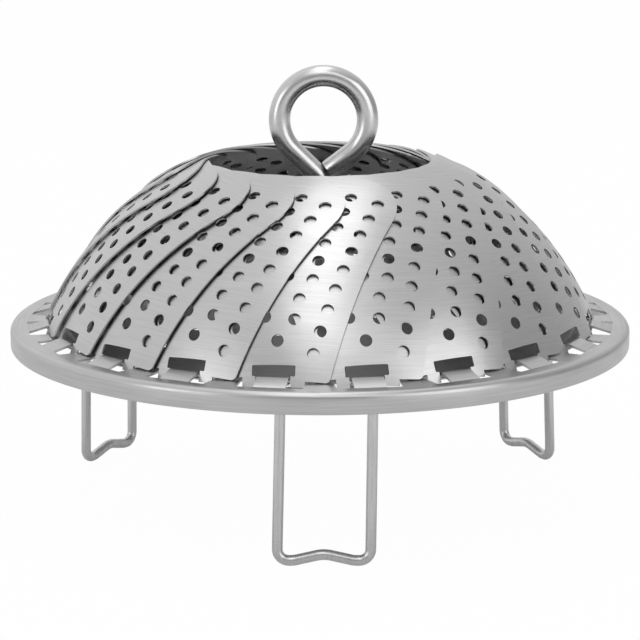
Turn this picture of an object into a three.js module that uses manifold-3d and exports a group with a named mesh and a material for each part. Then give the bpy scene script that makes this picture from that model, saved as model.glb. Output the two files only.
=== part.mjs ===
// Folding steamer basket in stainless steel, petals folded up into a dome.
// Millimetres, +Z up, origin on the table under the centre of the base.
// The front of the basket looks along -Y; right, seen from outside, is +X there.
import * as THREE from 'three';
import { mergeVertices } from 'three/addons/utils/BufferGeometryUtils.js';
import Module from 'manifold-3d';

// Base plate: flat perforated disc with a crowned rim and a turned-down skirt
const rimRadius = 70;
const rimHeight = 4.6;
const rimCornerRadius = 1.5;
const rimWall = 1.0;
const rimCrownWidth = 2.6;
const rimCrownRise = 1.0;
const standHeight = 35.3;
const plateThickness = 0.5;

// Steam holes in the plate, set out in rings round the post
const plateHoleDiameter = 3.2;
const plateHoleRings = 3;
const plateHoleFirstRing = 15;
const plateHoleRingStep = 13;
const plateHolesPerRing = 7;

// Petals: patches of a sphere, tilted so that each right edge laps over its neighbour
const petalCount = 20;
const petalThickness = 0.38;
const mouthRadius = 24.8;
const petalRootSlope = 22.9;
const petalTopSlope = 68.9;
const petalTilt = 6;
const petalLap = 2.45;
const petalLapShift = 0.075;
const petalRightLean = 13.8;
const petalLeftLean = 12.5;
const petalTopOverrun = 0.45;
const petalTopCorner = 10;
const petalFootCorner = 1.2;
const petalRightFootDrop = 0.2;
const petalLeftFootLift = 1.4;

// Steam holes in a petal: a straight column along each edge, and a wavering one between them
const petalHoleDiameter = 2.6;
const petalHolePitch = 4.77;
const petalHoleFirstRow = 5.8;
const petalHoleEdge = 4.7;
const petalHoleTopMargin = 5;
const petalHoleColumnStep = 5.5;
const petalHoleWaver = 0.6;
const petalHoleLeftLift = 0.4;
const petalHoleLeftEvery = 2;

// Hinge: a curl of the plate goes through the petal's window, round its foot bar
const hingeInset = 8.3;
const curlBore = 1.15;
const curlEnd = 130;
const curlWidth = 6.7;
const curlSideClearance = 0.95;
const footBarHeight = 0.8;
const petalWindowHeight = 2.8;
const lugSideWidth = 2.2;
const lugClearance = 0.4;
const slotInner = 2.1;
const slotOuter = 2.3;

// Legs: three wire hoops that fold in under the plate
const legWireDiameter = 2.25;
const legWidth = 19.2;
const legSlotMargin = 0.4;
const legSplay = 1.2;
const legBend = 2.4;
const legTopBend = 2.2;
const legFootRise = 1.2;
const legFootFlat = 0.6;
const legFootCrest = 3;
const legPinClearance = 0.3;
const legPinOverhang = 0.6;
const legLoopWidth = 3;
const legLoopWall = 0.6;

// Handle: a rod bent into an eye on top of the post, held by two nuts
const rodDiameter = 4.8;
const eyeRadius = 9.85;
const eyeOffset = 0.8;
const eyeAbovePlate = 46.5;
const eyeNeckReach = 3.15;
const eyeTailGap = 0.9;
const neckBend = 4;
const postThread = 2.5;
const postClearance = 0.3;
const nutAcross = 8;
const nutHeight = 3.2;
const nutSeat = 0.1;

// Facet counts
const rimSides = 60;
const wireSides = 8;
const rodSides = 10;
const holeSides = 4;
const cornerSteps = 3;
const wireBendSteps = 2;
const curlSteps = 3;
const petalStrips = 50;
const petalCrossSteps = 5;
const eyeSteps = 18;
const boreSides = 12;

// Levels and radii that follow from the sizes above
const rimBottom = standHeight;
const rimTop = rimBottom + rimHeight;
const plateTop = rimTop - rimCrownRise;
const plateBottom = plateTop - plateThickness;
const curlOuter = curlBore + plateThickness;
const hingeRadius = rimRadius - hingeInset;
const hingeHeight = plateTop + curlBore;
const lugWidth = curlWidth + 2 * (curlSideClearance + lugSideWidth);
const wireRadius = legWireDiameter / 2;
const legLoopBore = wireRadius + legPinClearance;
const legLoopOuter = legLoopBore + legLoopWall;
const legPivotRadius = hingeRadius - slotInner - legSlotMargin - legLoopOuter;
const legPivotHeight = plateBottom - legLoopBore;
const legFootRadius = legPivotRadius + legSplay;
const legPinLength = legTopBend + legLoopWidth + legPinOverhang;
const rodRadius = rodDiameter / 2;
const postHoleDiameter = rodDiameter + 2 * postClearance;
const eyeHeight = plateTop + eyeAbovePlate;
const rad = THREE.MathUtils.degToRad;
const petalPitch = 360 / petalCount;
const petalSweep = petalTopSlope - petalRootSlope;
const petalNarrowing = Math.cos(rad(petalRootSlope)) - Math.cos(rad(petalTopSlope));
const petalSphereRadius = (hingeRadius - mouthRadius) / petalNarrowing;
const petalPitchWidth = 2 * hingeRadius * Math.sin(rad(petalPitch / 2));

const wasm = await Module();
wasm.setup();

function solidOf(geometry) {
  const bare = geometry.index ? geometry.clone() : geometry;
  bare.deleteAttribute('normal');
  bare.deleteAttribute('uv');
  const welded = mergeVertices(bare, 1e-5);
  return new wasm.Manifold(new wasm.Mesh({
    numProp: 3,
    vertProperties: Float32Array.from(welded.attributes.position.array),
    triVerts: Uint32Array.from(welded.index.array),
  }));
}

function geometryOf(solid) {
  const mesh = solid.getMesh();
  const geometry = new THREE.BufferGeometry();
  geometry.setAttribute('position', new THREE.BufferAttribute(mesh.vertProperties, 3));
  geometry.setIndex(new THREE.BufferAttribute(mesh.triVerts, 1));
  geometry.computeVertexNormals();
  return geometry;
}

function prism(shape, depth, steps = cornerSteps) {
  return new THREE.ExtrudeGeometry(shape, { depth, bevelEnabled: false, curveSegments: steps });
}

// The flats of the polygon touch the circle of the given diameter
function polygonPath(x, y, diameter, sides) {
  const path = new THREE.Path();
  const reach = diameter / 2 / Math.cos(Math.PI / sides);
  for (let i = 0; i < sides; i += 1) {
    const angle = (2 * Math.PI * (i + 0.5)) / sides;
    const px = x + reach * Math.cos(angle);
    const py = y + reach * Math.sin(angle);
    if (i === 0) path.moveTo(px, py);
    else path.lineTo(px, py);
  }
  path.closePath();
  return path;
}

function polygonShape(x, y, diameter, sides) {
  return new THREE.Shape(polygonPath(x, y, diameter, sides).getPoints());
}

// A bent wire visits its points in turn, so its facets sit on the bends
class BentLine extends THREE.Curve {
  constructor(points) {
    super();
    this.points = points;
  }

  getPoint(t, target = new THREE.Vector3()) {
    const last = this.points.length - 1;
    const place = Math.min(Math.max(t, 0), 1) * last;
    const index = Math.min(Math.floor(place), last - 1);
    return target.lerpVectors(this.points[index], this.points[index + 1], place - index);
  }

  getPointAt(t, target) {
    return this.getPoint(t, target);
  }

  getTangentAt(t, target = new THREE.Vector3()) {
    const last = this.points.length - 1;
    const index = Math.round(t * last);
    const before = this.points[Math.max(index - 1, 0)];
    const after = this.points[Math.min(index + 1, last)];
    const here = this.points[index];
    const arriving = here.clone().sub(before).normalize();
    const leaving = after.clone().sub(here).normalize();
    return target.copy(arriving).add(leaving).normalize();
  }
}

// Corners of a bent line are replaced by arcs of the given radii
function roundCorners(corners, radii, steps) {
  const points = [corners[0]];
  for (let i = 1; i < corners.length - 1; i += 1) {
    const inward = corners[i].clone().sub(corners[i - 1]).normalize();
    const onward = corners[i + 1].clone().sub(corners[i]).normalize();
    const turn = inward.angleTo(onward);
    const reach = radii[i - 1] * Math.tan(turn / 2);
    const start = corners[i].clone().addScaledVector(inward, -reach);
    const side = onward.clone().addScaledVector(inward, -onward.dot(inward)).normalize();
    const centre = start.clone().addScaledVector(side, radii[i - 1]);
    for (let j = 0; j <= steps; j += 1) {
      const angle = (turn * j) / steps;
      const point = centre.clone();
      point.addScaledVector(side, -radii[i - 1] * Math.cos(angle));
      point.addScaledVector(inward, radii[i - 1] * Math.sin(angle));
      points.push(point);
    }
  }
  points.push(corners[corners.length - 1]);
  return points;
}

function wireAlong(points, radius, sides) {
  const section = polygonShape(0, 0, 2 * radius, sides);
  return new THREE.ExtrudeGeometry(section, {
    steps: points.length - 1,
    extrudePath: new BentLine(points),
    bevelEnabled: false,
  });
}

function steel(colour, roughness) {
  return new THREE.MeshStandardMaterial({ color: colour, roughness, metalness: 1 });
}

function makeMesh(name, geometry, material) {
  const mesh = new THREE.Mesh(geometry, material);
  mesh.name = name;
  return mesh;
}

// Base plate
function discProfile() {
  const crownOuter = rimRadius - rimCornerRadius;
  const crownInner = rimRadius - rimCornerRadius - rimCrownWidth;
  const flare = rimCrownRise;
  const skirt = rimRadius - rimWall;
  const profile = [
    [postHoleDiameter / 2, plateBottom],
    [crownInner - flare, plateBottom],
    [crownInner, plateBottom + rimCrownRise],
    [skirt, plateBottom + rimCrownRise],
    [skirt, rimBottom],
    [rimRadius, rimBottom],
  ];
  for (let i = 0; i <= cornerSteps; i += 1) {
    const angle = (Math.PI / 2) * (i / cornerSteps);
    profile.push([
      crownOuter + rimCornerRadius * Math.cos(angle),
      rimTop - rimCornerRadius + rimCornerRadius * Math.sin(angle),
    ]);
  }
  profile.push([crownInner, rimTop]);
  profile.push([crownInner - flare, plateTop]);
  profile.push([postHoleDiameter / 2, plateTop]);
  profile.push(profile[0]);
  return profile.map(([r, z]) => new THREE.Vector2(r, z));
}

function hingeSlot(azimuth) {
  const depth = slotInner + slotOuter;
  const slot = new THREE.BoxGeometry(depth, lugWidth + 2 * lugClearance, 4 * plateThickness);
  slot.translate(hingeRadius - slotInner + depth / 2, 0, plateTop - plateThickness / 2);
  return slot.rotateZ(azimuth);
}

function hingeCurl(azimuth) {
  const rooted = slotInner + plateThickness;
  const section = new THREE.Shape();
  section.moveTo(-rooted, -curlOuter);
  section.lineTo(0, -curlOuter);
  section.absarc(0, 0, curlOuter, rad(-90), rad(curlEnd), false);
  section.lineTo(curlBore * Math.cos(rad(curlEnd)), curlBore * Math.sin(rad(curlEnd)));
  section.absarc(0, 0, curlBore, rad(curlEnd), rad(-90), true);
  section.lineTo(-rooted, -curlBore);
  section.closePath();
  const curl = prism(section, curlWidth, curlSteps);
  curl.translate(0, 0, -curlWidth / 2);
  curl.rotateX(Math.PI / 2);
  curl.translate(hingeRadius, 0, hingeHeight);
  return curl.rotateZ(azimuth);
}

function legLoop(azimuth, side) {
  const bore = legLoopBore;
  const outer = legLoopOuter;
  const rise = bore + plateThickness / 2;
  const section = new THREE.Shape();
  section.moveTo(-outer, rise);
  section.lineTo(-outer, 0);
  section.absarc(0, 0, outer, Math.PI, 2 * Math.PI, false);
  section.lineTo(outer, rise);
  section.lineTo(bore, rise);
  section.lineTo(bore, 0);
  section.absarc(0, 0, bore, 2 * Math.PI, Math.PI, true);
  section.lineTo(-bore, rise);
  section.closePath();
  const loop = prism(section, legLoopWidth, curlSteps);
  loop.translate(0, 0, -legLoopWidth / 2);
  loop.rotateX(Math.PI / 2);
  const middle = legWidth / 2 - legTopBend - legLoopWidth / 2;
  loop.translate(legPivotRadius, side * middle, legPivotHeight);
  return loop.rotateZ(azimuth);
}

function plateHoleCutters() {
  const cutters = [];
  for (let ring = 0; ring < plateHoleRings; ring += 1) {
    const radius = plateHoleFirstRing + ring * plateHoleRingStep;
    const count = plateHolesPerRing * (ring + 1);
    for (let i = 0; i < count; i += 1) {
      const angle = (2 * Math.PI * (i + 0.5)) / count;
      const hole = prism(polygonShape(0, 0, plateHoleDiameter, holeSides), 4 * plateThickness);
      hole.translate(radius, 0, plateBottom - plateThickness);
      cutters.push(solidOf(hole.rotateZ(angle)));
    }
  }
  return cutters;
}

function petalAzimuth(index) {
  return rad(-90 + (index + 0.5) * petalPitch);
}

const legNames = ['leg_front', 'leg_right', 'leg_left'];

function legAzimuth(index) {
  return rad(-90 + index * (360 / legNames.length));
}

function basePlateGeometry() {
  const disc = new THREE.LatheGeometry(discProfile(), rimSides);
  disc.rotateX(Math.PI / 2);
  const slots = [];
  const curls = [];
  for (let i = 0; i < petalCount; i += 1) {
    slots.push(solidOf(hingeSlot(petalAzimuth(i))));
    curls.push(solidOf(hingeCurl(petalAzimuth(i))));
  }
  for (let i = 0; i < legNames.length; i += 1) {
    curls.push(solidOf(legLoop(legAzimuth(i), -1)));
    curls.push(solidOf(legLoop(legAzimuth(i), 1)));
  }
  const cutters = wasm.Manifold.union(slots.concat(plateHoleCutters()));
  const pressed = solidOf(disc).subtract(cutters);
  return geometryOf(wasm.Manifold.union([pressed].concat(curls)));
}

// Petal, built round the centre of its sphere: x across, y along, z outward
const petalRootDrop = petalSphereRadius * Math.sin(rad(petalSweep / 2));
const petalRightFootEdge = -petalRootDrop - petalRightFootDrop;
const petalLeftFootEdge = -petalRootDrop + petalLeftFootLift;
const petalTopEdge = petalRootDrop + petalTopOverrun;
const petalMiddleSlope = petalRootSlope + petalSweep / 2;
const petalRightFoot = petalPitchWidth / 2 + petalLap / 2 + petalLapShift;
const petalLeftFoot = petalPitchWidth / 2 + petalLap / 2 - petalLapShift;

function petalRightEdge(y) {
  return petalRightFoot + (y + petalRootDrop) * Math.tan(rad(petalRightLean));
}

function petalLeftEdge(y) {
  return -petalLeftFoot - (y + petalRootDrop) * Math.tan(rad(petalLeftLean));
}

// The tilt shifts the root sideways; the lug stays in line with its hinge curl
const petalRootDepth = petalSphereRadius * Math.cos(rad(petalSweep / 2));
const lugMiddle = -(petalSphereRadius - petalRootDepth) * Math.tan(rad(petalTilt));

function petalOutline() {
  const foot = petalRightFootEdge;
  const leftFoot = petalLeftFootEdge;
  const top = petalTopEdge;
  const bar = -petalRootDrop - footBarHeight / 2;
  const shoulder = top - petalTopCorner;
  const rightCentre = petalRightEdge(shoulder) - petalTopCorner / Math.cos(rad(petalRightLean));
  const leftCentre = petalLeftEdge(shoulder) + petalTopCorner / Math.cos(rad(petalLeftLean));
  const lugRight = lugMiddle + lugWidth / 2;
  const lugLeft = lugMiddle - lugWidth / 2;
  const shape = new THREE.Shape();
  shape.moveTo(lugLeft, bar);
  shape.lineTo(lugRight, bar);
  shape.lineTo(lugRight, foot);
  shape.lineTo(petalRightFoot - petalFootCorner, foot);
  shape.quadraticCurveTo(
    petalRightFoot,
    foot,
    petalRightEdge(foot + petalFootCorner),
    foot + petalFootCorner,
  );
  shape.absarc(rightCentre, shoulder, petalTopCorner, rad(-petalRightLean), rad(90), false);
  shape.absarc(leftCentre, shoulder, petalTopCorner, rad(90), rad(180 + petalLeftLean), false);
  shape.lineTo(petalLeftEdge(leftFoot), leftFoot);
  shape.lineTo(lugLeft, leftFoot);
  shape.closePath();

  const windowHalf = curlWidth / 2 + curlSideClearance;
  const sill = bar + footBarHeight;
  const windowPath = new THREE.Path();
  windowPath.moveTo(lugMiddle - windowHalf, sill);
  windowPath.lineTo(lugMiddle + windowHalf, sill);
  windowPath.lineTo(lugMiddle + windowHalf, sill + petalWindowHeight);
  windowPath.lineTo(lugMiddle - windowHalf, sill + petalWindowHeight);
  windowPath.closePath();
  shape.holes.push(windowPath);

  const firstRow = petalRightFootEdge + petalHoleFirstRow;
  const lastRow = top - petalHoleTopMargin;
  for (let row = 0; firstRow + row * petalHolePitch < lastRow; row += 1) {
    const y = firstRow + row * petalHolePitch;
    const right = petalRightEdge(y) - petalHoleEdge;
    shape.holes.push(polygonPath(right, y, petalHoleDiameter, holeSides));
    if (row % petalHoleLeftEvery === 1) {
      const left = petalLeftEdge(y) + petalHoleEdge;
      const leftRow = y + petalHoleLeftLift;
      shape.holes.push(polygonPath(left, leftRow, petalHoleDiameter, holeSides));
    }
  }
  for (let row = 0; firstRow + (row + 0.5) * petalHolePitch < lastRow; row += 1) {
    const y = firstRow + (row + 0.5) * petalHolePitch;
    const waver = row % 2 === 0 ? petalHoleWaver : 0;
    const x = petalRightEdge(y) - petalHoleEdge - petalHoleColumnStep - waver;
    shape.holes.push(polygonPath(x, y, petalHoleDiameter, holeSides));
  }
  return shape;
}

function petalGeometry() {
  const outer = petalSphereRadius + petalThickness / 2;
  const inner = petalSphereRadius - petalThickness / 2;
  const rightAngle = Math.asin((petalRightEdge(petalTopEdge) + petalThickness) / inner);
  const leftAngle = Math.asin((petalLeftEdge(petalTopEdge) - petalThickness) / inner);
  const section = [];
  for (let i = 0; i <= petalCrossSteps; i += 1) {
    const angle = leftAngle + ((rightAngle - leftAngle) * i) / petalCrossSteps;
    section.push(new THREE.Vector2(outer * Math.cos(angle), outer * Math.sin(angle)));
  }
  for (let i = petalCrossSteps; i >= 0; i -= 1) {
    const angle = leftAngle + ((rightAngle - leftAngle) * i) / petalCrossSteps;
    section.push(new THREE.Vector2(inner * Math.cos(angle), inner * Math.sin(angle)));
  }
  section.push(section[0].clone());
  const shell = new THREE.LatheGeometry(section, petalStrips);
  const across = new THREE.Vector3(1, 0, 0);
  const along = new THREE.Vector3(0, 1, 0);
  const outward = new THREE.Vector3(0, 0, 1);
  shell.applyMatrix4(new THREE.Matrix4().makeBasis(outward, across, along));
  const blank = prism(petalOutline(), petalSphereRadius);
  blank.translate(0, 0, petalSphereRadius / 2);
  return geometryOf(solidOf(shell).intersect(solidOf(blank)));
}

// The petal's place at the front, before it is turned to its own azimuth
function placePetal(mesh) {
  const slope = rad(petalMiddleSlope);
  const tilt = rad(petalTilt);
  const root = rad(petalRootSlope);
  const flatOutward = new THREE.Vector3(0, -Math.cos(slope), Math.sin(slope));
  const along = new THREE.Vector3(0, Math.sin(slope), Math.cos(slope));
  const sideways = new THREE.Vector3(1, 0, 0);
  const across = sideways.clone().multiplyScalar(Math.cos(tilt));
  across.addScaledVector(flatOutward, Math.sin(tilt));
  const outward = flatOutward.clone().multiplyScalar(Math.cos(tilt));
  outward.addScaledVector(sideways, -Math.sin(tilt));
  const centre = new THREE.Vector3(0, -hingeRadius, hingeHeight);
  centre.y += petalSphereRadius * Math.cos(root);
  centre.z -= petalSphereRadius * Math.sin(root);
  centre.addScaledVector(flatOutward, petalSphereRadius);
  centre.addScaledVector(outward, -petalSphereRadius);
  mesh.quaternion.setFromRotationMatrix(new THREE.Matrix4().makeBasis(across, along, outward));
  mesh.position.copy(centre);
}

// Leg: pins turned inward at the top, a shallow double-footed wave at the bottom
function legGeometry() {
  const half = legWidth / 2;
  const floor = wireRadius;
  const dip = half - legBend - legFootFlat;
  const pinEnd = half - legPinLength;
  const leftHalf = [
    [-pinEnd, legPivotRadius, legPivotHeight],
    [-half, legPivotRadius, legPivotHeight],
    [-half, legFootRadius, floor],
    [-dip, legFootRadius, floor],
    [-legFootCrest / 2, legFootRadius, floor + legFootRise],
  ];
  const rightHalf = leftHalf.map(([x, r, z]) => [-x, r, z]).reverse();
  const corners = leftHalf.concat(rightHalf).map(([x, r, z]) => new THREE.Vector3(x, -r, z));
  const wave = legFootCrest / 2;
  const leftBends = [legTopBend, legBend, wave, wave];
  const bends = leftBends.concat(leftBends.slice().reverse());
  return wireAlong(roundCorners(corners, bends, wireBendSteps), wireRadius, wireSides);
}

// Handle: up the post, out to the left, round the eye and back to a cut end
function handleGeometry() {
  const drop = eyeRadius + eyeNeckReach;
  const neck = new THREE.Vector3(0, 0, eyeHeight - drop);
  const eye = new THREE.Vector3(eyeOffset, 0, eyeHeight);
  const fall = Math.hypot(eyeOffset, drop);
  const spread = Math.acos(eyeRadius / fall);
  const down = Math.atan2(-drop, -eyeOffset);
  const onEye = (angle) => new THREE.Vector3(
    eye.x + eyeRadius * Math.cos(angle),
    0,
    eye.z + eyeRadius * Math.sin(angle),
  );
  const first = down - spread;
  const last = down + spread - 2 * Math.PI;
  const bottom = new THREE.Vector3(0, 0, plateBottom - nutSeat - nutHeight - postThread);
  const points = roundCorners([bottom, neck, onEye(first)], [neckBend], cornerSteps);
  for (let i = 1; i <= eyeSteps; i += 1) {
    points.push(onEye(first + ((last - first) * i) / eyeSteps));
  }
  const tail = neck.clone().sub(onEye(last));
  const crossing = tail.angleTo(neck.clone().sub(onEye(first)));
  const tailLength = tail.length() - (rodRadius + eyeTailGap) / Math.sin(crossing);
  points.push(onEye(last).addScaledVector(tail.normalize(), tailLength));
  return wireAlong(points, rodRadius, rodSides);
}

function nutGeometry() {
  const shape = polygonShape(0, 0, nutAcross, 6);
  shape.holes.push(polygonPath(0, 0, postHoleDiameter, boreSides));
  return prism(shape, nutHeight);
}

const basket = new THREE.Group();
const brushedPlate = steel(0xb4b4b2, 0.4);
const brushedPetal = steel(0xc4c5c6, 0.32);
const drawnWire = steel(0xb9bab8, 0.24);
const polishedRod = steel(0xc8c8c6, 0.18);

basket.add(makeMesh('base_plate', basePlateGeometry(), brushedPlate));

const petalForm = petalGeometry();
for (let i = 0; i < petalCount; i += 1) {
  const turned = new THREE.Group();
  turned.rotation.z = petalAzimuth(i) - petalAzimuth(0) + rad(petalPitch / 2);
  const petal = makeMesh(`petal_${String(i + 1).padStart(2, '0')}`, petalForm, brushedPetal);
  placePetal(petal);
  turned.add(petal);
  basket.add(turned);
}

const legForm = legGeometry();
legNames.forEach((name, index) => {
  const turned = new THREE.Group();
  turned.rotation.z = legAzimuth(index) - legAzimuth(0);
  turned.add(makeMesh(name, legForm, drawnWire));
  basket.add(turned);
});

basket.add(makeMesh('handle', handleGeometry(), polishedRod));

const upperNut = makeMesh('nut_upper', nutGeometry(), drawnWire);
upperNut.position.z = plateTop + nutSeat;
basket.add(upperNut);
const lowerNut = makeMesh('nut_lower', nutGeometry(), drawnWire);
lowerNut.position.z = plateBottom - nutSeat - nutHeight;
basket.add(lowerNut);

export default basket;
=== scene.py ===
"""Folding steamer basket in stainless steel, its petals folded up into a dome."""

import math

import bmesh
import bpy
from mathutils import Matrix, Vector


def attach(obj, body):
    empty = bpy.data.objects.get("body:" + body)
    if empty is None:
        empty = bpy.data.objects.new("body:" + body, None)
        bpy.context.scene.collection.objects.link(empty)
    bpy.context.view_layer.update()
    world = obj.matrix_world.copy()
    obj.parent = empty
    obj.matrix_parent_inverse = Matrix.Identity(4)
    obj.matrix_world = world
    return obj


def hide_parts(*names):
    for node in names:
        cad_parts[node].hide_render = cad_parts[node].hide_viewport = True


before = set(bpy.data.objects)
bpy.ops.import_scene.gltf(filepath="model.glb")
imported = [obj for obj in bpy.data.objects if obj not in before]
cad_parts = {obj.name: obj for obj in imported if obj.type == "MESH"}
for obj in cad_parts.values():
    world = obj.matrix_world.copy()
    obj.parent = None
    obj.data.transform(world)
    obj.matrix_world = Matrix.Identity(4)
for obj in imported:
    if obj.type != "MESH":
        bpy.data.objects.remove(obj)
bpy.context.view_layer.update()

MM = 0.001

# Base plate
rim_radius = 70 * MM
rim_bottom = 35.3 * MM
rim_corner = 1.3 * MM
rim_wall = 1.0 * MM
flange_top = 39.9 * MM
flange_inner = 58.6 * MM
flange_outer = 67.3 * MM
floor_radius = 56.4 * MM
floor_top = 38.9 * MM
plate_thickness = 0.5 * MM
rim_edge_break = 0.3 * MM
rim_rounds = 240
step_turns = ((57.0 * MM, 0.12), (57.5 * MM, 0.5), (58.0 * MM, 0.88))
post_bore = 2.7 * MM
steam_hole_rings = ((15 * MM, 7), (28 * MM, 14), (41 * MM, 21))
steam_hole_radius = 1.6 * MM
hole_sides = 20
bore_sides = 32

# Petals: each a patch of a sphere, tilted so that its right edge stands proud
petal_count = 20
petal_spacing = math.radians(360 / petal_count)
petal_thickness = 0.38 * MM
petal_edge_break = 0.08 * MM
petal_grid = 1.6 * MM
petal_grid_reach = 18
petal_sphere = 65.75 * MM
petal_root = 25.69 * MM
petal_top_edge = 26.14 * MM
petal_right_foot = (10.95 * MM, -25.5 * MM)
petal_left_foot = (-10.8 * MM, -24.78 * MM)
petal_right_lean = math.tan(math.radians(13.8))
petal_left_lean = math.tan(math.radians(12.5))
petal_top_corner = 10 * MM
petal_foot_corner = 1.2 * MM
petal_left_corner = 0.5 * MM
petal_slope = math.radians(45.9)
petal_root_slope = math.radians(22.9)
petal_tilt = math.radians(6)
petal_foot_untilt = math.radians(3.7)
petal_top_untilt = math.radians(1.9)
petal_top_lift = 0.7 * MM
petal_hole_radius = 1.3 * MM
edge_column_start = -20.07 * MM
edge_column_pitch = 4.77 * MM
edge_column_rows = 9
edge_column_inset = 4.7 * MM
second_column_start = -17.6 * MM
second_column_pitch = 4.6 * MM
second_column_steps = (8.1, 6.0, 6.5, 5.3, 5.7, 6.0, 5.2, 5.6, 6.0)
left_column_lift = 0.4 * MM
lapped_holes = ((-2.8, -12.6), (-4.0, -8.4), (-6.3, -3.8), (-7.1, 0.8), (-7.9, 5.4), (-9.8, 10.0),
                (-10.5, 14.6), (-11.3, 19.2), (1.2, -3.2), (-0.3, 3.1), (0.2, 7.8), (-0.2, 12.4),
                (0.3, 17.0), (4.6, 21.6), (-4.8, 21.8))

# Hinges: tabs of the plate over the foot bar of each petal
hinge_radius = 61.7 * MM
hinge_height = 40.05 * MM
tab_bore = 0.5 * MM
tab_width = 6.7 * MM
tab_root = 65.9 * MM
tab_sweep = math.radians(165)
tab_buried = 0.5 * MM
tab_edge_break = 0.08 * MM
lug_middle = -0.4 * MM
lug_width = 13.0 * MM
lug_bottom = -26.75 * MM
window_width = 9.0 * MM
window_sill = -24.65 * MM
window_top = -22.49 * MM
window_corner = 0.25 * MM
bar_left = -4.17 * MM
bar_right = 3.13 * MM
bar_bottom = -25.84 * MM
bar_top = -25.5 * MM
slot_inner = 2.1 * MM
slot_outer = 4.3 * MM
slot_width = 13.8 * MM
slot_corner = 0.3 * MM

# Legs and their loops under the plate
wire_radius = 1.125 * MM
leg_pivot = (57.175 * MM, 36.975 * MM)
leg_foot_radius = 58.375 * MM
leg_pin_shift = 1.4 * MM
leg_foot_shift = 0.8 * MM
leg_pin_end = 3.8 * MM
leg_top_half = 9.55 * MM
leg_foot_half = 9.75 * MM
leg_foot_dip = 6.3 * MM
leg_crest = 1.45 * MM
leg_top_bend = 2.2 * MM
leg_foot_bend = 2.4 * MM
leg_wave_bend = 6 * MM
leg_crest_bend = 7 * MM
leg_turn = math.radians(120)
loop_bore = 1.425 * MM
loop_wall = 0.6 * MM
loop_width = 3.0 * MM
loop_middle = 5.9 * MM
loop_edge_break = 0.05 * MM
wire_sides = 20
wire_end_break = 0.3 * MM
curl_steps = 16

# Handle and its nuts
rod_radius = 2.4 * MM
eye_radius = 9.85 * MM
eye_centre = Vector((0.8 * MM, 0, 85.4 * MM))
neck = Vector((0, 0, 72.4 * MM))
neck_bend = 4 * MM
post_foot = Vector((0, 0, 32.6 * MM))
tail_length = 6.2 * MM
rod_sides = 32
rod_end_break = 0.25 * MM
nut_half_across = 4 * MM
nut_height = 3.2 * MM
nut_edge_break = 0.3 * MM
nut_bottoms = (("nut_upper", 39.0 * MM), ("nut_lower", 35.1 * MM))


def verts_of(parts):
    return [part for part in parts if isinstance(part, bmesh.types.BMVert)]


def edges_of(parts):
    return [part for part in parts if isinstance(part, bmesh.types.BMEdge)]


def show_piece(name, bm, finish, body, stands_for=None, crease=35):
    """Hands the finished form to Blender, smooth apart from its creases."""
    for face in bm.faces:
        face.smooth = True
    for edge in bm.edges:
        edge.smooth = edge.calc_face_angle(math.pi) < math.radians(crease)
    mesh = bpy.data.meshes.new(name)
    bm.to_mesh(mesh)
    mesh.materials.append(finish)
    piece = bpy.data.objects.new(name, mesh)
    bpy.context.collection.objects.link(piece)
    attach(piece, body)
    if stands_for:
        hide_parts(stands_for)
    return piece


# Sheet metal: a flat blank with its openings, then its thickness

def add_outline(bm, corners, roundings):
    """A closed outline whose corners are rounded to the given radii."""
    loose = [bm.verts.new((x, y, 0)) for x, y in corners]
    blank = bm.faces.new(loose)
    for corner, rounding in zip(loose, roundings):
        if rounding:
            arms = [edge.other_vert(corner).co - corner.co for edge in corner.link_edges]
            reach = rounding / math.tan(arms[0].angle(arms[1]) / 2)
            bmesh.ops.bevel(bm, geom=[corner], offset=reach, offset_type="OFFSET",
                            affect="VERTICES", segments=max(3, int(rounding / MM) + 3),
                            profile=0.5, material=-1)
    blank = next(face for face in bm.faces if face.is_valid)
    bmesh.ops.delete(bm, geom=[blank], context="FACES_ONLY")


def add_round_hole(bm, x, y, radius, sides):
    bmesh.ops.create_circle(bm, segments=sides, radius=radius,
                            matrix=Matrix.Translation((x, y, 0)))


def fill_blank(bm):
    bmesh.ops.triangle_fill(bm, edges=bm.edges[:], use_beauty=True, normal=(0, 0, 1))


def thicken(bm, step):
    """Gives the flat blank a second face, the step away from the first."""
    grown = bmesh.ops.extrude_face_region(bm, geom=bm.faces[:], use_keep_orig=True)["geom"]
    bmesh.ops.translate(bm, vec=step, verts=verts_of(grown))
    bmesh.ops.recalc_face_normals(bm, faces=bm.faces[:])


def break_edges(bm, width, beyond=50):
    """Takes the sharpness off every edge that turns further than the given angle."""
    sharp = [edge for edge in bm.edges if edge.calc_face_angle(0) > math.radians(beyond)]
    bmesh.ops.bevel(bm, geom=sharp, offset=width, offset_type="OFFSET", affect="EDGES",
                    segments=1, profile=0.5, material=-1, clamp_overlap=True)


# Wire and strip: a section is run on in straight lines and bent round centres

def run_on(bm, section, step):
    grown = bmesh.ops.extrude_edge_only(bm, edges=section)["geom"]
    ends = set(verts_of(grown))
    bmesh.ops.translate(bm, vec=step, verts=list(ends))
    return [edge for edge in edges_of(grown) if ends.issuperset(edge.verts)]


def bend_on(bm, section, centre, axis, angle, steps):
    spun = bmesh.ops.spin(bm, geom=section, cent=centre, axis=axis, angle=angle, steps=steps)
    return edges_of(spun["geom_last"])


def round_section(bm, radius, place, heading, sides):
    facing = heading.to_track_quat("Z", "Y").to_matrix().to_4x4()
    bmesh.ops.create_circle(bm, segments=sides, radius=radius,
                            matrix=Matrix.Translation(place) @ facing)
    return bm.edges[:]


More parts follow.
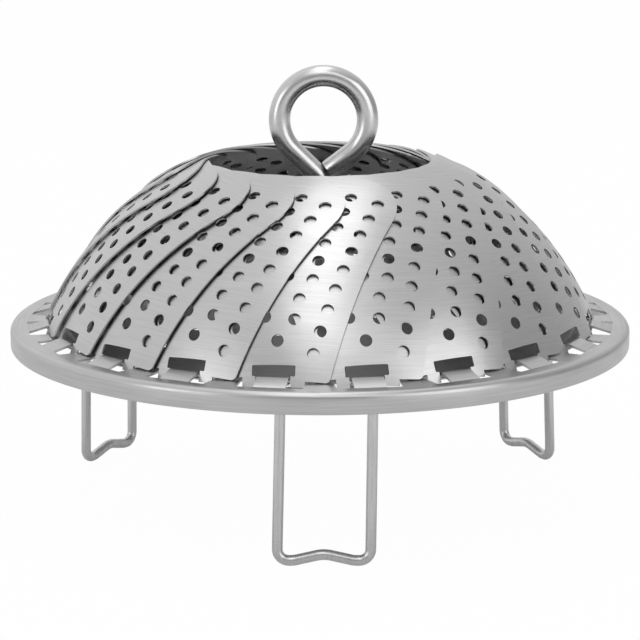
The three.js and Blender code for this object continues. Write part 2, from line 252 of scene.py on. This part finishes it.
def close_ends(bm, cut):
    """Closes both ends of a wire or strip and breaks their edges."""
    rims = [edge for edge in bm.edges if edge.is_boundary]
    caps = bmesh.ops.holes_fill(bm, edges=rims, sides=0)["faces"]
    bmesh.ops.recalc_face_normals(bm, faces=bm.faces[:])
    rims = [edge for cap in caps for edge in cap.edges]
    bmesh.ops.bevel(bm, geom=rims, offset=cut, offset_type="OFFSET", affect="EDGES",
                    segments=2, profile=0.5, material=-1)


# Steel finishes

def start_steel(name):
    steel = bpy.data.materials.new(name)
    steel.use_nodes = True
    tree = steel.node_tree
    shader = tree.nodes["Principled BSDF"]
    shader.inputs["Metallic"].default_value = 1.0
    return steel, tree, shader


def two_tone(tree, factor, dark, pale, low=0.3, high=0.7):
    ramp = tree.nodes.new("ShaderNodeValToRGB")
    ramp.color_ramp.elements[0].position = low
    ramp.color_ramp.elements[0].color = (*dark, 1)
    ramp.color_ramp.elements[1].position = high
    ramp.color_ramp.elements[1].color = (*pale, 1)
    tree.links.new(factor, ramp.inputs["Fac"])
    return ramp.outputs["Color"]


def graded(tree, factor, low, high):
    spread = tree.nodes.new("ShaderNodeMapRange")
    spread.inputs["From Min"].default_value = 0.25
    spread.inputs["From Max"].default_value = 0.75
    spread.inputs["To Min"].default_value = low
    spread.inputs["To Max"].default_value = high
    tree.links.new(factor, spread.inputs["Value"])
    return spread.outputs["Result"]


def noise_of(tree, vector, scale, detail=2.0, roughness=0.5):
    noise = tree.nodes.new("ShaderNodeTexNoise")
    noise.inputs["Scale"].default_value = scale
    noise.inputs["Detail"].default_value = detail
    noise.inputs["Roughness"].default_value = roughness
    tree.links.new(vector, noise.inputs["Vector"])
    return noise.outputs["Fac"]


def stretched(tree, vector, scale):
    mapping = tree.nodes.new("ShaderNodeMapping")
    mapping.inputs["Scale"].default_value = scale
    tree.links.new(vector, mapping.inputs["Vector"])
    return mapping.outputs["Vector"]


def fine_relief(tree, shader, height, strength, depth):
    bump = tree.nodes.new("ShaderNodeBump")
    bump.inputs["Strength"].default_value = strength
    bump.inputs["Distance"].default_value = depth
    tree.links.new(height, bump.inputs["Height"])
    tree.links.new(bump.outputs["Normal"], shader.inputs["Normal"])


def petal_finish():
    """Brushed across the petal, so gleams draw out along it."""
    steel, tree, shader = start_steel("petal_steel")
    uv = tree.nodes.new("ShaderNodeUVMap")
    uv.uv_map = "brushing"
    strokes = noise_of(tree, stretched(tree, uv.outputs["UV"], (70, 3600, 1)), 1, 3, 0.6)
    clouds = noise_of(tree, stretched(tree, uv.outputs["UV"], (60, 120, 1)), 1, 2)
    tree.links.new(two_tone(tree, strokes, (0.52, 0.52, 0.522), (0.62, 0.62, 0.622)),
                   shader.inputs["Base Color"])
    tree.links.new(graded(tree, clouds, 0.27, 0.37), shader.inputs["Roughness"])
    shader.inputs["Anisotropic"].default_value = 0.55
    shader.inputs["Anisotropic Rotation"].default_value = 0.25
    tangent = tree.nodes.new("ShaderNodeTangent")
    tangent.direction_type = "UV_MAP"
    tangent.uv_map = "brushing"
    tree.links.new(tangent.outputs["Tangent"], shader.inputs["Tangent"])
    fine_relief(tree, shader, strokes, 0.25, 0.00001)
    return steel


def round_coordinates(tree, centre, flat_axes, depth_axis):
    """Distance from an axis, place along it and a slow drift round it."""
    place = tree.nodes.new("ShaderNodeTexCoord").outputs["Object"]
    shift = tree.nodes.new("ShaderNodeMapping")
    shift.inputs["Location"].default_value = [-value for value in centre]
    tree.links.new(place, shift.inputs["Vector"])
    split = tree.nodes.new("ShaderNodeSeparateXYZ")
    tree.links.new(shift.outputs["Vector"], split.inputs["Vector"])
    flat = tree.nodes.new("ShaderNodeCombineXYZ")
    tree.links.new(split.outputs[flat_axes[0]], flat.inputs["X"])
    tree.links.new(split.outputs[flat_axes[1]], flat.inputs["Y"])
    distance = tree.nodes.new("ShaderNodeVectorMath")
    distance.operation = "LENGTH"
    tree.links.new(flat.outputs["Vector"], distance.inputs[0])
    turn = tree.nodes.new("ShaderNodeMath")
    turn.operation = "ARCTAN2"
    tree.links.new(split.outputs[flat_axes[0]], turn.inputs[0])
    tree.links.new(split.outputs[flat_axes[1]], turn.inputs[1])
    joined = tree.nodes.new("ShaderNodeCombineXYZ")
    tree.links.new(distance.outputs["Value"], joined.inputs["X"])
    tree.links.new(split.outputs[depth_axis], joined.inputs["Y"])
    tree.links.new(turn.outputs["Value"], joined.inputs["Z"])
    return joined.outputs["Vector"]


def plate_finish():
    """Brushed round the rim, with a soft unevenness left by the press."""
    steel, tree, shader = start_steel("plate_steel")
    rounds = round_coordinates(tree, (0, 0, 0), "XY", "Z")
    strokes = noise_of(tree, stretched(tree, rounds, (2600, 2600, 5)), 1, 3, 0.6)
    clouds = noise_of(tree, stretched(tree, rounds, (260, 260, 9)), 1, 2)
    tree.links.new(two_tone(tree, strokes, (0.48, 0.48, 0.48), (0.58, 0.58, 0.578)),
                   shader.inputs["Base Color"])
    tree.links.new(graded(tree, clouds, 0.28, 0.4), shader.inputs["Roughness"])
    fine_relief(tree, shader, strokes, 0.2, 0.00001)
    return steel


def wire_finish():
    """Drawn wire: fine lines along it, half bright."""
    steel, tree, shader = start_steel("wire_steel")
    place = tree.nodes.new("ShaderNodeTexCoord").outputs["Object"]
    lines = noise_of(tree, stretched(tree, place, (2400, 2400, 120)), 1, 3, 0.6)
    clouds = noise_of(tree, stretched(tree, place, (300, 300, 90)), 1, 2)
    tree.links.new(two_tone(tree, lines, (0.53, 0.53, 0.53), (0.64, 0.64, 0.638)),
                   shader.inputs["Base Color"])
    tree.links.new(graded(tree, clouds, 0.22, 0.34), shader.inputs["Roughness"])
    fine_relief(tree, shader, lines, 0.15, 0.00001)
    return steel


def rod_finish():
    """Bright rod with long drawing marks that follow the eye."""
    steel, tree, shader = start_steel("rod_steel")
    rounds = round_coordinates(tree, eye_centre, "XZ", "Y")
    marks = noise_of(tree, stretched(tree, rounds, (1500, 1500, 1.2)), 1, 3, 0.55)
    clouds = noise_of(tree, stretched(tree, rounds, (350, 350, 2)), 1, 2)
    tree.links.new(two_tone(tree, marks, (0.57, 0.57, 0.57), (0.68, 0.68, 0.678)),
                   shader.inputs["Base Color"])
    tree.links.new(graded(tree, clouds, 0.2, 0.32), shader.inputs["Roughness"])
    fine_relief(tree, shader, marks, 0.5, 0.00004)
    return steel


petal_steel = petal_finish()
plate_steel = plate_finish()
wire_steel = wire_finish()
rod_steel = rod_finish()


# Petals

def right_edge(y):
    return petal_right_foot[0] + (y + petal_root) * petal_right_lean


def left_edge(y):
    return petal_left_foot[0] - (y + petal_root) * petal_left_lean


def cut_petal_blank():
    lug_right = lug_middle + lug_width / 2
    lug_left = lug_middle - lug_width / 2
    right_y, left_y = petal_right_foot[1], petal_left_foot[1]
    bm = bmesh.new()
    add_outline(bm, [
        (lug_left, lug_bottom), (bar_left, lug_bottom), (bar_left, bar_bottom),
        (bar_right, bar_bottom), (bar_right, lug_bottom), (lug_right, lug_bottom),
        (lug_right, right_y),
        (right_edge(right_y), right_y), (right_edge(petal_top_edge), petal_top_edge),
        (left_edge(petal_top_edge), petal_top_edge), (left_edge(left_y), left_y),
        (lug_left, left_y),
    ], [0] * 7 + [petal_foot_corner, petal_top_corner, petal_top_corner, petal_left_corner, 0])
    low, high = lug_middle - window_width / 2, lug_middle + window_width / 2
    add_outline(bm, [
        (low, window_sill), (bar_left, window_sill), (bar_left, bar_top),
        (bar_right, bar_top), (bar_right, window_sill), (high, window_sill),
        (high, window_top), (low, window_top),
    ], [window_corner, 0, 0, 0, 0, window_corner, window_corner, window_corner])
    for row in range(edge_column_rows):
        y = edge_column_start + row * edge_column_pitch
        add_round_hole(bm, right_edge(y) - edge_column_inset, y, petal_hole_radius, hole_sides)
        add_round_hole(bm, left_edge(y) + edge_column_inset, y + left_column_lift,
                       petal_hole_radius, hole_sides)
    for row, step in enumerate(second_column_steps):
        y = second_column_start + row * second_column_pitch
        add_round_hole(bm, right_edge(y) - edge_column_inset - step * MM, y,
                       petal_hole_radius, hole_sides)
    for x, y in lapped_holes:
        add_round_hole(bm, x * MM, y * MM, petal_hole_radius, hole_sides)
    fill_blank(bm)
    return bm


def dome_petal(bm):
    """Presses the flat blank onto its sphere and gives it its thickness."""
    for across in (Vector((1, 0, 0)), Vector((0, 1, 0))):
        for count in range(-petal_grid_reach, petal_grid_reach + 1):
            bmesh.ops.bisect_plane(bm, geom=bm.verts[:] + bm.edges[:] + bm.faces[:],
                                   dist=1e-7, plane_co=across * count * petal_grid,
                                   plane_no=across)
    outer = petal_sphere + petal_thickness / 2
    for vert in bm.verts:
        vert.co.z = math.sqrt(outer ** 2 - vert.co.x ** 2 - vert.co.y ** 2)
    inner = 1 - petal_thickness / outer
    grown = bmesh.ops.extrude_face_region(bm, geom=bm.faces[:], use_keep_orig=True)["geom"]
    bmesh.ops.scale(bm, vec=(inner, inner, inner), verts=verts_of(grown))
    bmesh.ops.recalc_face_normals(bm, faces=bm.faces[:])
    break_edges(bm, petal_edge_break)
    for vert in bm.verts:
        rise = (vert.co.y + petal_root) / (petal_top_edge + petal_root)
        untilt = petal_foot_untilt + (petal_top_untilt - petal_foot_untilt) * rise
        vert.co.z += petal_top_lift * max(0, rise) ** 2 - vert.co.x * math.tan(untilt)
    brushing = bm.loops.layers.uv.new("brushing")
    for face in bm.faces:
        for loop in face.loops:
            loop[brushing].uv = loop.vert.co.xy


def petal_place():
    """Where the petal stands at the front, before it turns to its own azimuth."""
    flat_outward = Vector((0, -math.cos(petal_slope), math.sin(petal_slope)))
    along = Vector((0, math.sin(petal_slope), math.cos(petal_slope)))
    sideways = Vector((1, 0, 0))
    across = sideways * math.cos(petal_tilt) + flat_outward * math.sin(petal_tilt)
    outward = flat_outward * math.cos(petal_tilt) - sideways * math.sin(petal_tilt)
    centre = Vector((0, petal_sphere * math.cos(petal_root_slope) - hinge_radius,
                     hinge_height - petal_sphere * math.sin(petal_root_slope)))
    centre += petal_sphere * (flat_outward - outward)
    turn = Matrix((across, along, outward)).transposed().to_4x4()
    return Matrix.Translation(centre) @ turn


def make_petals():
    form = cut_petal_blank()
    dome_petal(form)
    bmesh.ops.transform(form, matrix=petal_place(), verts=form.verts[:])
    for number in range(petal_count):
        name = "petal_%02d" % (number + 1)
        petal = form.copy()
        turn = Matrix.Rotation(petal_spacing * (number + 0.5), 4, "Z")
        bmesh.ops.transform(petal, matrix=turn, verts=petal.verts[:])
        show_piece("leaf_%02d" % (number + 1), petal, petal_steel, name, name)
        petal.free()


# Base plate

def add_slots(bm):
    """Twenty slots for the petal lugs, each with rounded corners."""
    outline = bmesh.new()
    low, high = -hinge_radius - slot_outer, -hinge_radius + slot_inner
    half = slot_width / 2
    add_outline(outline, [(-half, low), (half, low), (half, high), (-half, high)],
                [slot_corner] * 4)
    mesh = bpy.data.meshes.new("slot_outline")
    outline.to_mesh(mesh)
    outline.free()
    for number in range(petal_count):
        known = len(bm.verts)
        bm.from_mesh(mesh)
        bm.verts.ensure_lookup_table()
        turn = Matrix.Rotation(petal_spacing * (number + 0.5), 4, "Z")
        bmesh.ops.transform(bm, matrix=turn, verts=bm.verts[known:])
    bpy.data.meshes.remove(mesh)


def stamp_floor():
    """The flat perforated floor round the post."""
    bm = bmesh.new()
    add_round_hole(bm, 0, 0, floor_radius, rim_rounds)
    add_round_hole(bm, 0, 0, post_bore, bore_sides)
    for ring, holes in steam_hole_rings:
        for number in range(holes):
            angle = 2 * math.pi * (number + 0.5) / holes
            add_round_hole(bm, ring * math.cos(angle), ring * math.sin(angle),
                           steam_hole_radius, hole_sides)
    fill_blank(bm)
    bmesh.ops.translate(bm, vec=(0, 0, floor_top), verts=bm.verts[:])
    thicken(bm, (0, 0, -plate_thickness))
    return bm


def stamp_flange():
    """The flat ring that carries the hinges."""
    bm = bmesh.new()
    add_round_hole(bm, 0, 0, flange_outer, rim_rounds)
    add_round_hole(bm, 0, 0, flange_inner, rim_rounds)
    add_slots(bm)
    fill_blank(bm)
    bmesh.ops.translate(bm, vec=(0, 0, flange_top), verts=bm.verts[:])
    thicken(bm, (0, 0, -plate_thickness))
    return bm


def spin_section(bm, section):
    corners = [bm.verts.new((radius, 0, height)) for radius, height in section]
    strip = [bm.edges.new(pair) for pair in zip(corners, corners[1:])]
    bmesh.ops.spin(bm, geom=strip, cent=(0, 0, 0), axis=(0, 0, 1), angle=2 * math.pi,
                   steps=rim_rounds, use_merge=True)


def open_wall(bm, radius):
    """Takes out the upright wall at a radius where two forms join."""
    wall = [face for face in bm.faces
            if all(abs(vert.co.xy.length - radius) < 1e-6 for vert in face.verts)]
    bmesh.ops.delete(bm, geom=wall, context="FACES_ONLY")


def form_dish():
    """Floor, the step up to the flange, and the rounded rim with its skirt, as one pressing."""
    dish = stamp_floor()
    flange = stamp_flange()
    mesh = bpy.data.meshes.new("flange_blank")
    flange.to_mesh(mesh)
    flange.free()
    dish.from_mesh(mesh)
    bpy.data.meshes.remove(mesh)
    for radius in (floor_radius, flange_inner, flange_outer):
        open_wall(dish, radius)
    rise = flange_top - floor_top
    step = [(floor_radius, floor_top)]
    step += [(radius, floor_top + share * rise) for radius, share in step_turns]
    step.append((flange_inner, flange_top))
    spin_section(dish, step)
    spin_section(dish, [(radius, height - plate_thickness) for radius, height in step])
    inside = rim_radius - rim_wall
    section = [(flange_outer, flange_top)]
    for turn in range(7):
        angle = math.radians(15 * turn)
        section.append((rim_radius - rim_corner + rim_corner * math.sin(angle),
                        flange_top - rim_corner + rim_corner * math.cos(angle)))
    under = flange_top - plate_thickness
    section += [(rim_radius, rim_bottom + rim_edge_break),
                (rim_radius - rim_edge_break / 3, rim_bottom + rim_edge_break / 3),
                (rim_radius - rim_edge_break, rim_bottom), (inside, rim_bottom),
                (inside, under), (flange_outer, under)]
    spin_section(dish, section)
    bmesh.ops.remove_doubles(dish, verts=dish.verts[:], dist=2e-6)
    bmesh.ops.recalc_face_normals(dish, faces=dish.faces[:])
    return dish


def tab_form():
    """The front hinge tab: up from the slot's outer edge, over the foot bar and down."""
    bm = bmesh.new()
    half = tab_width / 2
    middle = flange_top - plate_thickness / 2
    pivot = Vector((0, -hinge_radius, hinge_height))
    root = Vector((0, -tab_root, middle))
    bend = tab_bore + plate_thickness / 2
    away = pivot - root
    climb = math.atan2(away.z, away.y) + math.asin(bend / away.length)
    heading = Vector((0, math.cos(climb), math.sin(climb)))
    across = Vector((0, -heading.z, heading.y)) * plate_thickness / 2
    corners = [bm.verts.new(root - heading * tab_buried + Vector((x, 0, 0)) + side)
               for x, side in ((-half, -across), (half, -across), (half, across), (-half, across))]
    section = [bm.edges.new(pair) for pair in zip(corners, corners[1:] + corners[:1])]
    length = math.sqrt(away.length ** 2 - bend ** 2)
    section = run_on(bm, section, heading * (length + tab_buried))
    bend_on(bm, section, pivot, (1, 0, 0), -tab_sweep, curl_steps)
    close_ends(bm, tab_edge_break)
    return bm


def loop_form():
    """The pair of loops that hold the front leg's pins."""
    bm = bmesh.new()
    radius, height = leg_pivot
    top = floor_top - plate_thickness / 2
    inner, outer = -radius + loop_bore, -radius + loop_bore + loop_wall
    for side in (-1, 1):
        middle = leg_pin_shift + side * loop_middle
        corners = [bm.verts.new((middle + x, y, top)) for x, y in (
            (-loop_width / 2, inner), (loop_width / 2, inner),
            (loop_width / 2, outer), (-loop_width / 2, outer))]
        section = [bm.edges.new(pair) for pair in zip(corners, corners[1:] + corners[:1])]
        section = run_on(bm, section, (0, 0, height - top))
        section = bend_on(bm, section, (0, -radius, height), (1, 0, 0), -math.pi, curl_steps)
        run_on(bm, section, (0, 0, top - height))
    close_ends(bm, loop_edge_break)
    return bm


def repeat_round(bm, count, first):
    """Turns the form to its first azimuth and sets equal copies round the post."""
    step = 2 * math.pi / count
    bmesh.ops.rotate(bm, cent=(0, 0, 0), matrix=Matrix.Rotation(first, 3, "Z"),
                     verts=bm.verts[:])
    bmesh.ops.spin(bm, geom=bm.verts[:] + bm.edges[:] + bm.faces[:], cent=(0, 0, 0),
                   axis=(0, 0, 1), angle=step * (count - 1), steps=count - 1,
                   use_duplicate=True)


def make_base():
    dish = form_dish()
    show_piece("dish", dish, plate_steel, "base", "base_plate")
    dish.free()
    tabs = tab_form()
    repeat_round(tabs, petal_count, petal_spacing / 2)
    show_piece("hinge_tabs", tabs, plate_steel, "base")
    tabs.free()
    loops = loop_form()
    repeat_round(loops, 3, 0)
    show_piece("leg_loops", loops, plate_steel, "base")
    loops.free()


# Legs

def leg_form():
    radius, height = leg_pivot
    floor = wire_radius
    half = [(leg_pin_end, radius, height, leg_pin_shift),
            (leg_top_half, radius, height, leg_pin_shift),
            (leg_foot_half, leg_foot_radius, floor, leg_foot_shift),
            (leg_foot_dip, leg_foot_radius, floor, leg_foot_shift),
            (0, leg_foot_radius, floor + leg_crest, leg_foot_shift)]
    left = [Vector((shift - x, -r, z)) for x, r, z, shift in half]
    right = [Vector((shift + x, -r, z)) for x, r, z, shift in reversed(half[:-1])]
    corners = left + right
    half_bends = [leg_top_bend, leg_foot_bend, leg_wave_bend]
    bends = half_bends + [leg_crest_bend] + half_bends[::-1]
    bm = bmesh.new()
    here, heading = corners[0], (corners[1] - corners[0]).normalized()
    section = round_section(bm, wire_radius, here, heading, wire_sides)
    for corner, after, bend in zip(corners[1:-1], corners[2:], bends):
        onward = (after - corner).normalized()
        angle = heading.angle(onward)
        reach = bend * math.tan(angle / 2)
        section = run_on(bm, section, corner - heading * reach - here)
        axis = heading.cross(onward).normalized()
        centre = corner - heading * reach + axis.cross(heading) * bend
        section = bend_on(bm, section, centre, axis, angle, 8)
        here, heading = corner + onward * reach, onward
    run_on(bm, section, corners[-1] - here)
    close_ends(bm, wire_end_break)
    return bm


def make_legs():
    form = leg_form()
    for number, name in enumerate(("leg_front", "leg_right", "leg_left")):
        leg = form.copy()
        turn = Matrix.Rotation(leg_turn * number, 4, "Z")
        bmesh.ops.transform(leg, matrix=turn, verts=leg.verts[:])
        show_piece("wire_" + name, leg, wire_steel, name, name)
        leg.free()


# Handle and nuts

def make_handle():
    bm = bmesh.new()
    fall = neck - eye_centre
    spread = math.acos(eye_radius / fall.length)
    down = math.atan2(fall.z, fall.x)
    first, last = down - spread, down + spread
    on_eye = eye_centre + eye_radius * Vector((math.cos(first), 0, math.sin(first)))
    up, lean = Vector((0, 0, 1)), (on_eye - neck).normalized()
    angle = up.angle(lean)
    reach = neck_bend * math.tan(angle / 2)
    section = round_section(bm, rod_radius, post_foot, up, rod_sides)
    section = run_on(bm, section, neck - up * reach - post_foot)
    axis = up.cross(lean).normalized()
    section = bend_on(bm, section, neck - up * reach + axis.cross(up) * neck_bend,
                      axis, angle, 12)
    section = run_on(bm, section, on_eye - neck - lean * reach)
    sweep = 2 * math.pi - (last - first)
    section = bend_on(bm, section, eye_centre, (0, 1, 0), sweep, 72)
    end = eye_centre + eye_radius * Vector((math.cos(last), 0, math.sin(last)))
    run_on(bm, section, (neck - end).normalized() * tail_length)
    close_ends(bm, rod_end_break)
    show_piece("rod_handle", bm, rod_steel, "handle", "handle")
    bm.free()


def make_nuts():
    for name, bottom in nut_bottoms:
        bm = bmesh.new()
        reach = nut_half_across / math.cos(math.pi / 6)
        bmesh.ops.create_circle(bm, segments=6, radius=reach,
                                matrix=Matrix.Rotation(math.pi / 6, 4, "Z"))
        add_round_hole(bm, 0, 0, post_bore, bore_sides)
        fill_blank(bm)
        bmesh.ops.translate(bm, vec=(0, 0, bottom), verts=bm.verts[:])
        thicken(bm, (0, 0, nut_height))
        break_edges(bm, nut_edge_break, beyond=40)
        show_piece("hex_" + name, bm, wire_steel, "base", name)
        bm.free()


make_petals()
make_base()
make_legs()
make_handle()
make_nuts()


# Studio: pale floor, soft boxes, and the camera at the photographed angle

floor_reach = 4.0
camera_lens = 141.47
camera_place = (0, -0.559, 0.1633)
camera_pitch = math.radians(77.51)
basket_middle = (0, 0, 0.05)


def seen_directly(tree):
    """One for the rays that show the background, less for what metal mirrors."""
    rays = tree.nodes.new("ShaderNodeLightPath")
    clear = tree.nodes.new("ShaderNodeMath")
    clear.operation = "MAXIMUM"
    tree.links.new(rays.outputs["Is Camera Ray"], clear.inputs[0])
    tree.links.new(rays.outputs["Is Transmission Ray"], clear.inputs[1])
    mirrored = tree.nodes.new("ShaderNodeMath")
    mirrored.operation = "MULTIPLY_ADD"
    mirrored.use_clamp = True
    mirrored.inputs[1].default_value = 0.25
    tree.links.new(rays.outputs["Is Glossy Ray"], mirrored.inputs[0])
    tree.links.new(clear.outputs["Value"], mirrored.inputs[2])
    return mirrored.outputs["Value"]


def make_floor():
    bm = bmesh.new()
    bmesh.ops.create_grid(bm, x_segments=8, y_segments=8, size=floor_reach)
    mesh = bpy.data.meshes.new("pale_floor")
    bm.to_mesh(mesh)
    bm.free()
    floor = bpy.data.objects.new("pale_floor", mesh)
    bpy.context.collection.objects.link(floor)
    paint = bpy.data.materials.new("pale_floor")
    paint.use_nodes = True
    tree = paint.node_tree
    tree.nodes.clear()
    matt = tree.nodes.new("ShaderNodeBsdfDiffuse")
    matt.inputs["Color"].default_value = (0.82, 0.82, 0.82, 1)
    glow = tree.nodes.new("ShaderNodeEmission")
    glow.inputs["Color"].default_value = (1, 1, 1, 1)
    mixed = tree.nodes.new("ShaderNodeMixShader")
    share = tree.nodes.new("ShaderNodeMath")
    share.operation = "MULTIPLY"
    share.inputs[1].default_value = 0.98
    tree.links.new(seen_directly(tree), share.inputs[0])
    tree.links.new(share.outputs["Value"], mixed.inputs["Fac"])
    tree.links.new(matt.outputs["BSDF"], mixed.inputs[1])
    tree.links.new(glow.outputs["Emission"], mixed.inputs[2])
    out = tree.nodes.new("ShaderNodeOutputMaterial")
    tree.links.new(mixed.outputs["Shader"], out.inputs["Surface"])
    mesh.materials.append(paint)


def make_room():
    """Pale room, brightest up on the far left, darker low on the near right."""
    world = bpy.data.worlds.new("studio_room")
    bpy.context.scene.world = world
    world.use_nodes = True
    tree = world.node_tree
    glow = tree.nodes["Background"]
    glow.inputs["Strength"].default_value = 1.0
    towards = tree.nodes.new("ShaderNodeVectorMath")
    towards.operation = "DOT_PRODUCT"
    towards.inputs[1].default_value = (-0.5, 0.5, 0.7)
    tree.links.new(tree.nodes.new("ShaderNodeTexCoord").outputs["Generated"], towards.inputs[0])
    fall = tree.nodes.new("ShaderNodeMapRange")
    fall.interpolation_type = "SMOOTHSTEP"
    fall.inputs["From Min"].default_value = -0.3
    fall.inputs["From Max"].default_value = 0.95
    tree.links.new(towards.outputs["Value"], fall.inputs["Value"])
    room = two_tone(tree, fall.outputs["Result"], (0.22, 0.22, 0.22), (0.85, 0.85, 0.85), 0.0, 1.0)
    mixed = tree.nodes.new("ShaderNodeMix")
    mixed.data_type = "RGBA"
    tree.links.new(seen_directly(tree), mixed.inputs["Factor"])
    colours = [socket for socket in mixed.inputs if socket.type == "RGBA"]
    tree.links.new(room, colours[0])
    colours[1].default_value = (1, 1, 1, 1)
    result = [socket for socket in mixed.outputs if socket.type == "RGBA"][0]
    tree.links.new(result, glow.inputs["Color"])


def hang_softbox(name, place, aim, width, height, power):
    lamp = bpy.data.lights.new(name, "AREA")
    lamp.shape = "RECTANGLE"
    lamp.size = width
    lamp.size_y = height
    lamp.energy = power
    box = bpy.data.objects.new(name, lamp)
    bpy.context.collection.objects.link(box)
    box.location = place
    box.rotation_euler = (Vector(aim) - Vector(place)).to_track_quat("-Z", "Y").to_euler()


def set_camera():
    lens = bpy.data.cameras.new("camera")
    lens.sensor_width = 36
    lens.lens = camera_lens
    camera = bpy.data.objects.new("camera", lens)
    bpy.context.collection.objects.link(camera)
    camera.location = camera_place
    camera.rotation_euler = (camera_pitch, 0, 0)
    bpy.context.scene.camera = camera


make_floor()
make_room()
hang_softbox("overhead_strip", (-0.055, -0.1, 1.0), (-0.035, 0.05, 0.05), 0.34, 1.4, 1.75)
hang_softbox("left_box", (-0.9, -0.72, 0.3), basket_middle, 0.5, 0.6, 1.4)
hang_softbox("right_box", (0.8, -0.75, 0.42), basket_middle, 0.75, 0.95, 2.8)
hang_softbox("front_box", (0.1, -0.95, 0.9), basket_middle, 0.7, 0.5, 0.9)
set_camera()

bpy.context.scene.view_settings.view_transform = "Standard"
